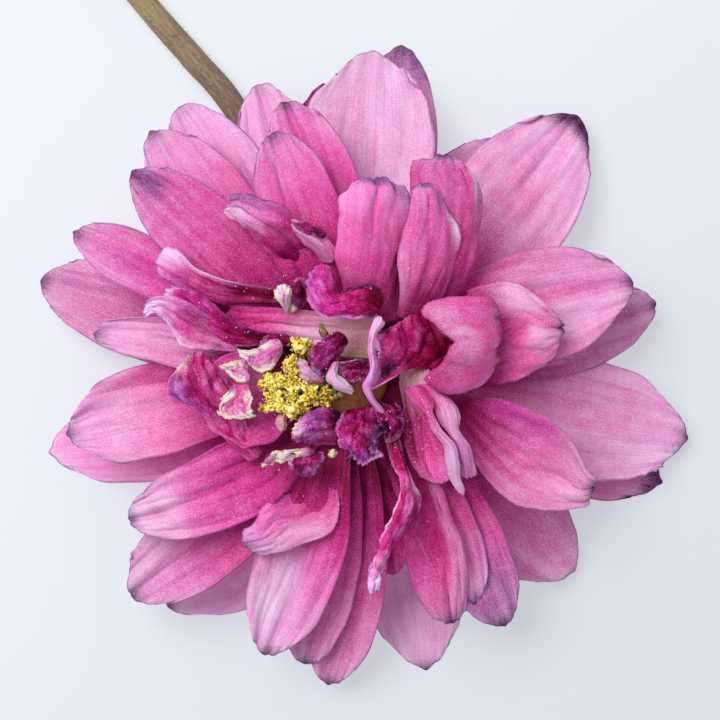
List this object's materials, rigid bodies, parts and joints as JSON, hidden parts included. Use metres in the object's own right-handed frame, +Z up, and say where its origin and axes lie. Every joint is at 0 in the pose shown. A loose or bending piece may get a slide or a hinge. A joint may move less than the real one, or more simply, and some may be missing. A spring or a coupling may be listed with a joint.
{
  "type": "columbine flower",
  "caption": "Cut double columbine blossom lying face up, with layered pink petals, a crumpled heart, stamens, carpels and a stem that bends under the bloom.",
  "frame": {"origin": "on the surface that the blossom lies on, at the middle of the footprint of the bloom and its stem", "axes": "+Z up, the way the bloom faces; +X to the right and +Y towards the side where the stem leaves, as seen from above"},
  "size_m": [0.0598, 0.0737, 0.0175],
  "materials": {
    "petal": "velvety petal skin, soft satin sheen",
    "stem": "matt, finely downy green stalk",
    "anther": "powdery pollen",
    "carpel": "matt, finely downy"
  },
  "bodies": {
    "root": {"petals": "petal", "stem": "stem", "stamens": "anther", "carpels": "carpel"}
  },
  "joints": []
}
